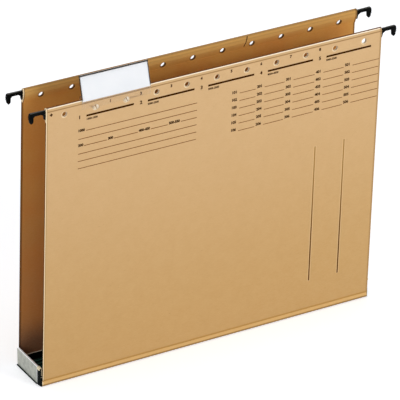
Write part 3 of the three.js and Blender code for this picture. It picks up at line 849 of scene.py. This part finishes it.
# Hooks, with moulded edges
HOOK_ROOT_GAP = 0.3 * MM
HOOK_EDGE = 0.45 * MM
HOOK_EDGE_STEPS = 3
ARM_HEIGHT = 2.8 * MM
TIP_WIDTH = 4.1 * MM
TIP_TAPER = 0.7 * TIP_WIDTH
TIP_PULL = TIP_WIDTH / 6
TIP_STEPS = 7
TIP_CORNER = 0.8 * MM
TIP_CORNER_STEPS = 8
THROAT = 0.9 * MM
THROAT_STEPS = 6
GUSSET_WIDTH = 3.7 * MM
GUSSET_DROP = 5.2 * MM
GUSSET_FOOT = 0.9 * MM
GUSSET_STEPS = 10
NIB = 0.45 * MM
NIB_DROP = 4.2 * MM
SHANK_REACH = 13 * MM
SHANK_TOP_DROP = 6.1 * MM
SHANK_THICKNESS = 0.95 * MM


def hook_outline(end, top, tip):
    """The hook's outline beside the right-hand cut edge, from the gusset's foot round to the arm's root."""
    root = HALF_WIDTH + HOOK_ROOT_GAP
    outer = end - NIB
    under = top - ARM_HEIGHT
    inner = end - TIP_WIDTH
    shoulder = tip + TIP_TAPER
    middle = (outer + inner) / 2
    foot = (root + GUSSET_FOOT, under - GUSSET_DROP)
    points = [(root, under - GUSSET_DROP), foot]
    points += curve(foot, (root + GUSSET_FOOT, under), (root + GUSSET_WIDTH, under), GUSSET_STEPS)
    points += arc(inner - THROAT, under - THROAT, THROAT, 90, 0, THROAT_STEPS)
    points.append((inner, shoulder))
    points += curve((inner, shoulder), (inner + TIP_PULL, tip), (middle, tip), TIP_STEPS)
    points += curve((middle, tip), (outer - TIP_PULL, tip), (outer, shoulder), TIP_STEPS)
    points.append((outer, top - NIB_DROP - NIB))
    points.append((end, top - NIB_DROP))
    points.append((outer, top - NIB_DROP + NIB))
    points += arc(outer - TIP_CORNER, top - TIP_CORNER, TIP_CORNER, 0, 90, TIP_CORNER_STEPS)
    points.append((root, top))
    return points


def add_hook_shank(mesh, hand, low, high):
    """The shank in the sleeve, from inside the gusset almost to the first hole."""
    ends = sorted((hand * (HALF_WIDTH + HOOK_ROOT_GAP + GUSSET_FOOT / 2), hand * (HALF_WIDTH - SHANK_REACH)))
    face = OUTER_FACE - BOARD
    sides = sorted((math.copysign(face, low.y), math.copysign(face - SHANK_THICKNESS, low.y)))
    foot = high.z - ARM_HEIGHT - GUSSET_DROP
    add_block(mesh, (ends[0], sides[0], foot), (ends[1], sides[1], FOLDER_TOP - SHANK_TOP_DROP))


def add_hook(node, body, material):
    low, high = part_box(node)
    hand = -1 if low.x < 0 else 1
    outline = hook_outline(max(-low.x, high.x), high.z, low.z)

    def build(mesh):
        near = [mesh.verts.new((hand * x, low.y, z)) for x, z in outline]
        far = [mesh.verts.new((hand * x, high.y, z)) for x, z in outline]
        near_face = mesh.faces.new(near)
        far_face = mesh.faces.new(list(reversed(far)))
        for i in range(len(near)):
            j = (i + 1) % len(near)
            mesh.faces.new((near[j], near[i], far[i], far[j]))
        edges = list(near_face.edges) + list(far_face.edges)
        bmesh.ops.bevel(mesh, geom=edges, offset=HOOK_EDGE, segments=HOOK_EDGE_STEPS, profile=0.5,
                        affect="EDGES")
        add_hook_shank(mesh, hand, low, high)

    hook = new_piece("moulded_" + node, build, material)
    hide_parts(node)
    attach(hook, body)


# Scored strips that close the creases between the base and the panels
CREASE_REACH = 0.6 * MM
CREASE_DENT = 0.1 * MM
CREASE_DENT_WIDTH = 0.25 * MM
CREASE_PROUD = 0.01 * MM
CREASE_ROWS = 12
CREASE_COLUMNS = 40


def add_crease(name, side, material):
    """side is -1 for the front crease and 1 for the back one."""
    def build(mesh):
        low, high = LIP_TOP - CREASE_REACH, PANEL_FOOT + CREASE_REACH
        rings = []
        for column in range(CREASE_COLUMNS + 1):
            x = -HALF_WIDTH + 2 * HALF_WIDTH * column / CREASE_COLUMNS
            outer, inner = [], []
            for row in range(CREASE_ROWS + 1):
                z = low + (high - low) * row / CREASE_ROWS
                dent = CREASE_DENT * math.exp(-((z - CREASE) / CREASE_DENT_WIDTH) ** 2)
                outer.append(mesh.verts.new((x, side * (OUTER_FACE + CREASE_PROUD - dent), z)))
                inner.append(mesh.verts.new((x, side * (OUTER_FACE - BOARD - CREASE_PROUD), z)))
            rings.append(outer + list(reversed(inner)))
        for first, second in zip(rings, rings[1:]):
            for i in range(len(first)):
                j = (i + 1) % len(first)
                mesh.faces.new((first[i], first[j], second[j], second[i]))
        mesh.faces.new(rings[0])
        mesh.faces.new(list(reversed(rings[-1])))

    strip = new_piece(name, build, material, smooth=True)
    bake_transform(strip)


# Split heads of the tab's pegs, in front of its saddle
SADDLE_FACE = -OUTER_FACE - 0.5 * MM
PEG_HEAD_RADIUS = 2.3 * MM
PEG_HEAD_HEIGHT = 0.35 * MM
PEG_SPLIT = 0.6 * MM
PEG_LEAN = math.radians(-28)
PEG_RINGS = 4
PEG_STEPS = 12


def add_half_head(mesh, place, turn):
    """Half of a domed disc whose flat side lies beside the split."""
    to_place = Matrix.Translation(place) @ Matrix.Rotation(PEG_LEAN + turn, 4, "Y")
    rings = []
    for ring in range(PEG_RINGS):
        share = ring / PEG_RINGS
        radius = PEG_HEAD_RADIUS * math.sqrt(1 - share ** 2)
        row = []
        for step in range(PEG_STEPS + 1):
            angle = math.radians(-90 + 180 * step / PEG_STEPS)
            across = PEG_SPLIT / 2 + radius * math.cos(angle)
            point = Vector((across, -PEG_HEAD_HEIGHT * share, radius * math.sin(angle)))
            row.append(mesh.verts.new(to_place @ point))
        rings.append(row)
    crown = Vector((PEG_SPLIT / 2, -PEG_HEAD_HEIGHT, 0))
    crown = mesh.verts.new(to_place @ crown)
    for lower, upper in zip(rings, rings[1:]):
        for i in range(PEG_STEPS):
            mesh.faces.new((lower[i], lower[i + 1], upper[i + 1], upper[i]))
    for i in range(PEG_STEPS):
        mesh.faces.new((rings[-1][i], rings[-1][i + 1], crown))
    mesh.faces.new(list(reversed(rings[0])))
    side = [row[0] for row in rings] + [crown] + [row[-1] for row in reversed(rings)]
    mesh.faces.new(side)


def peg_heads(mesh):
    for number in TAB_HOLES:
        x = -HALF_WIDTH + HOLE_EDGE_DISTANCE + number * HOLE_PITCH
        for turn in (0, math.pi):
            add_half_head(mesh, Vector((x, SADDLE_FACE, FOLDER_TOP - HOLE_DROP)), turn)


# Printed form on the front panel. Places are measured from the panel's left edge and top fold.
INK = 0.03 * MM
FONT_STEPS = 3
FONT_SIZE = 1.4  # times the height of a figure
FIGURE_HALF = 1 / 3  # half a figure's width, times its height
BAR_DROP = 14.6 * MM
BAR_START = 36.9 * MM
BAR_LENGTH = 43.8 * MM
BAR_THICKNESS = 1.75 * MM
BAR_COUNT = 5
BAR_PITCH = 2 * HOLE_PITCH
BAR_NUMBER_OFFSET = 6.3 * MM
BAR_NUMBER_HEIGHT = 3 * MM
BAR_NUMBER_WEIGHT = 0.2 * MM
SUBTITLE_DROP = 18.6 * MM
SUBTITLE_HEIGHT = 1.7 * MM
SUBTITLE_WEIGHT = 0.12 * MM
EDGE_MARK_ACROSS = 4.6 * MM
EDGE_MARK_DROP = 6.3 * MM
EDGE_MARK_SIZE = 2.7 * MM
POSITION_DROP = 6.2 * MM
POSITION_START = 58.7 * MM
POSITION_HEIGHT = 2.4 * MM
POSITION_WEIGHT = 0.2 * MM
POSITION_COUNT = 8
RULE_THICKNESS = 0.6 * MM
RULE_LEFT = 29.8 * MM
RULE_RIGHT = 140.5 * MM
RULE_DROP = 28 * MM
RULE_PITCH = 6.73 * MM
RULE_COUNT = 6
FIELD_HEIGHT = 2.2 * MM
FIELD_WEIGHT = 0.2 * MM
FIELD_GAP = 1 * MM
# Each numbered field's rule, counted from 0, its left and right ends, and its number
FIELDS = [
    (0, 29.4 * MM, 37 * MM, "1000"),
    (2, 29.8 * MM, 35.2 * MM, "200"),
    (2, 57.3 * MM, 62.6 * MM, "300"),
    (2, 86 * MM, 97.4 * MM, "400-450"),
    (2, 114.2 * MM, 125.6 * MM, "500-550"),
]
TABLE_COLUMNS = [173.5 * MM, 197.6 * MM, 225.4 * MM, 254.5 * MM, 283 * MM]
TABLE_RIGHT = 316.5 * MM
TABLE_LABEL_ROOM = 7.4 * MM
TABLE_GAP = 1.2 * MM
TABLE_DROP = 28.6 * MM
TABLE_PITCH = 7 * MM
TABLE_ROWS = 6
TABLE_NUMBER_HEIGHT = 2.4 * MM
TABLE_NUMBER_RISE = 0.6 * MM
TABLE_NUMBER_WEIGHT = 0.18 * MM
TABLE_LINE = 0.55 * MM


def on_panel(across, drop):
    return -HALF_WIDTH + across, FOLDER_TOP - drop


def add_stroke(mesh, left, top, right, bottom):
    """A printed rectangle, sunk a little into the board so that it is a closed body."""
    x_left, z_top = on_panel(left, top)
    x_right, z_bottom = on_panel(right, bottom)
    add_block(mesh, (x_left, -OUTER_FACE - INK, z_bottom), (x_right, -OUTER_FACE + INK, z_top))


def add_print(name, build, material):
    piece = new_piece(name, build, material)
    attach(piece, "front_leaf")


def add_rule(mesh, left, right, drop, thickness=RULE_THICKNESS):
    add_stroke(mesh, left, drop - thickness / 2, right, drop + thickness / 2)


def number_mesh(text, height, weight):
    """Outline of a plain number in Blender's own font, standing up and facing the reader."""
    data = bpy.data.curves.new("number", "FONT")
    data.body = text
    data.size = height * FONT_SIZE
    data.extrude = INK
    data.offset = weight
    data.resolution_u = FONT_STEPS
    made = bpy.data.objects.new("number", data)
    bpy.context.scene.collection.objects.link(made)
    bpy.context.view_layer.update()
    shape = bpy.data.meshes.new_from_object(made.evaluated_get(bpy.context.evaluated_depsgraph_get()))
    bpy.data.objects.remove(made)
    bpy.data.curves.remove(data)
    shape.transform(Matrix.Rotation(math.pi / 2, 4, "X"))
    return shape


def add_number(mesh, text, left, baseline, height, weight):
    shape = number_mesh(text, height, weight)
    x, z = on_panel(left, baseline)
    shape.transform(Matrix.Translation((x, -OUTER_FACE, z)))
    mesh.from_mesh(shape)
    bpy.data.meshes.remove(shape)


def add_centred_figure(mesh, figure, across, drop, height, weight):
    """One figure with its middle about at the given place."""
    add_number(mesh, str(figure), across - height * FIGURE_HALF, drop + height / 2, height, weight)


def title_bars(mesh):
    for number in range(BAR_COUNT):
        left = BAR_START + BAR_PITCH * number
        add_rule(mesh, left, left + BAR_LENGTH, BAR_DROP, BAR_THICKNESS)


def bar_numbers(mesh):
    for number in range(BAR_COUNT):
        across = BAR_START + BAR_PITCH * number - BAR_NUMBER_OFFSET
        add_centred_figure(mesh, number + 1, across, BAR_DROP, BAR_NUMBER_HEIGHT, BAR_NUMBER_WEIGHT)


def subtitle_numbers(mesh):
    """A small plain number under the left end of each bar."""
    for number in range(BAR_COUNT):
        left = BAR_START + BAR_PITCH * number
        first = 1000 * (number + 1)
        text = "%d-%d" % (first, first + 500)
        add_number(mesh, text, left, SUBTITLE_DROP, SUBTITLE_HEIGHT, SUBTITLE_WEIGHT)


def edge_mark(mesh):
    """A small printed cross near the left cut edge, in line with the holes."""
    arm = EDGE_MARK_SIZE / 2
    thin = EDGE_MARK_SIZE / 5
    across, drop = EDGE_MARK_ACROSS, EDGE_MARK_DROP
    add_stroke(mesh, across - arm, drop - thin, across + arm, drop + thin)
    add_stroke(mesh, across - thin, drop - arm, across + thin, drop - thin)
    add_stroke(mesh, across - thin, drop + thin, across + thin, drop + arm)


def position_numbers(mesh):
    for number in range(POSITION_COUNT):
        across = POSITION_START + HOLE_PITCH * number
        add_centred_figure(mesh, number + 1, across, POSITION_DROP, POSITION_HEIGHT, POSITION_WEIGHT)


def ruled_lines(mesh):
    """Ruled lines, which stop where a numbered field stands on them."""
    for row in range(RULE_COUNT):
        drop = RULE_DROP + RULE_PITCH * row
        fields = [(left, right) for on, left, right, _ in FIELDS if on == row]
        starts = [right for _, right in fields] or [RULE_LEFT]
        stops = [left - FIELD_GAP for left, _ in fields[1:]] + [RULE_RIGHT]
        for start, stop in zip(starts, stops):
            add_rule(mesh, start, stop, drop)


def field_numbers(mesh):
    for row, left, _, text in FIELDS:
        add_number(mesh, text, left, RULE_DROP + RULE_PITCH * row, FIELD_HEIGHT, FIELD_WEIGHT)


def table_lines(mesh):
    """Lines beside the table's numbers. The last column's reach the form's right edge."""
    starts = [left + TABLE_LABEL_ROOM for left in TABLE_COLUMNS]
    stops = [left - TABLE_GAP for left in TABLE_COLUMNS[1:]] + [TABLE_RIGHT]
    for row in range(TABLE_ROWS):
        for start, stop in zip(starts, stops):
            add_rule(mesh, start, stop, TABLE_DROP + TABLE_PITCH * row, TABLE_LINE)


def table_numbers(mesh):
    for column, left in enumerate(TABLE_COLUMNS):
        for row in range(TABLE_ROWS):
            text = str(100 * (column + 1) + row + 1)
            baseline = TABLE_DROP + TABLE_PITCH * row - TABLE_NUMBER_RISE
            add_number(mesh, text, left, baseline, TABLE_NUMBER_HEIGHT, TABLE_NUMBER_WEIGHT)


def margin_lines(mesh):
    for middle in MARGIN_LINES:
        half = MARGIN_THICKNESS / 2
        add_stroke(mesh, middle - half, MARGIN_TOP, middle + half, MARGIN_BOTTOM)


# Floor and light
FLOOR_RADIUS = 30
FLOOR_SIDES = 96
FLOOR_DROP = 0.05 * MM
FLOOR_CLOUD = 0.4
FLOOR_PALE = colour(244, 246, 251)
FLOOR_LIGHT = colour(247, 249, 253)
FLOOR_GLOW = 0.36
FAR_GLOW = 0.75
GLOW_NEAR = 0.7
GLOW_FAR = 3.5
WHITE = (1, 1, 1, 1)
WORLD_LIGHT = 0.38

# Each lamp's name, place, side and power, in metres and watts
LAMPS = [
    ("key", (1.2, -2.0, 1.1), 0.9, 25),
    ("fill", (-2.0, -1.1, 0.9), 0.9, 11),
    ("top", (-0.1, -0.1, 2.2), 1.2, 9),
    ("back", (0.8, 2.3, 1.3), 1.2, 12),
]


def floor_material():
    """Pale floor that keeps the object's shadow, and glows towards white in the picture."""
    graph = Graph("pale_floor")
    clouds = graph.noise(FLOOR_CLOUD)
    graph.set(Base_Color=graph.mix(clouds, FLOOR_PALE, FLOOR_LIGHT), Roughness=0.9, Specular_IOR_Level=0.1)
    distance = graph.node("ShaderNodeVectorMath", operation="LENGTH")
    graph.feed(distance.inputs[0], graph.place)
    far = graph.steps(distance.outputs["Value"], GLOW_NEAR, GLOW_FAR)
    strength = graph.spread(far, FAR_GLOW - FLOOR_GLOW, FLOOR_GLOW)
    glow = graph.node("ShaderNodeEmission")
    glow.inputs["Color"].default_value = WHITE
    graph.feed(glow.inputs["Strength"], graph.times(graph.pictured(), strength))
    both = graph.node("ShaderNodeAddShader")
    graph.feed(both.inputs[0], graph.shader.outputs[0])
    graph.feed(both.inputs[1], glow.outputs[0])
    graph.feed(graph.tree.nodes["Material Output"].inputs["Surface"], both.outputs[0])
    return graph.material


def add_floor():
    def build(mesh):
        bmesh.ops.create_circle(mesh, cap_ends=True, radius=FLOOR_RADIUS, segments=FLOOR_SIDES)
        bmesh.ops.translate(mesh, verts=mesh.verts, vec=(0, 0, -FLOOR_DROP))

    floor = new_piece("floor", build, floor_material())


def add_world():
    """Even light for the object, and plain white where the picture shows the world itself."""
    world = bpy.data.worlds.new("studio")
    world.use_nodes = True
    bpy.context.scene.world = world
    nodes = Nodes(world.node_tree)
    light = nodes.tree.nodes["Background"]
    light.inputs["Color"].default_value = WHITE
    light.inputs["Strength"].default_value = WORLD_LIGHT
    shown = nodes.node("ShaderNodeBackground")
    shown.inputs["Color"].default_value = WHITE
    shown.inputs["Strength"].default_value = 1
    either = nodes.node("ShaderNodeMixShader")
    nodes.feed(either.inputs[0], nodes.pictured())
    nodes.feed(either.inputs[1], light.outputs[0])
    nodes.feed(either.inputs[2], shown.outputs[0])
    nodes.feed(nodes.tree.nodes["World Output"].inputs["Surface"], either.outputs[0])


def add_lamp(name, place, size, power):
    data = bpy.data.lights.new(name, "AREA")
    data.shape = "SQUARE"
    data.size = size
    data.energy = power
    lamp = bpy.data.objects.new(name, data)
    bpy.context.scene.collection.objects.link(lamp)
    lamp.location = place
    lamp.rotation_euler = (AIM - Vector(place)).to_track_quat("-Z", "Y").to_euler()


add_camera()
bpy.context.scene.view_settings.view_transform = "Standard"
add_world()
for lamp in LAMPS:
    add_lamp(*lamp)
add_floor()

hook_material = hook_moulding()
dress(["front_panel", "back_panel"], panel_board())
dress(["base_board"], base_board())
dress(["base_tray"], tray_moulding())
dress(["left_end_plate", "right_end_plate"], plate_metal())
dress(["left_corner_clip", "right_corner_clip"], cream_board())
dress(["front_rail", "back_rail"], rail_steel())
dress(["tab_holder"], clear_film())
dress(["tab_label"], label_paper())

for node in ("front_left_hook", "front_right_hook"):
    add_hook(node, "front_leaf", hook_material)
for node in ("back_left_hook", "back_right_hook"):
    add_hook(node, "back_leaf", hook_material)

crease = crease_board()
add_crease("front_crease", -1, crease)
add_crease("back_crease", 1, crease)

heads = new_piece("peg_heads", peg_heads, frosted_film())
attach(heads, "front_leaf")

bar_ink = ink("bar_ink", *BAR_INK)
line_ink = ink("line_ink", *LINE_INK)
number_ink = ink("number_ink", *NUMBER_INK)
margin_ink = ink("margin_ink", *MARGIN_INK, MARGIN_FAINT)
add_print("title_bars", title_bars, bar_ink)
add_print("bar_numbers", bar_numbers, bar_ink)
add_print("subtitle_numbers", subtitle_numbers, number_ink)
add_print("edge_mark", edge_mark, bar_ink)
add_print("position_numbers", position_numbers, bar_ink)
add_print("ruled_lines", ruled_lines, line_ink)
add_print("field_numbers", field_numbers, number_ink)
add_print("table_lines", table_lines, line_ink)
add_print("table_numbers", table_numbers, number_ink)
add_print("margin_lines", margin_lines, margin_ink)
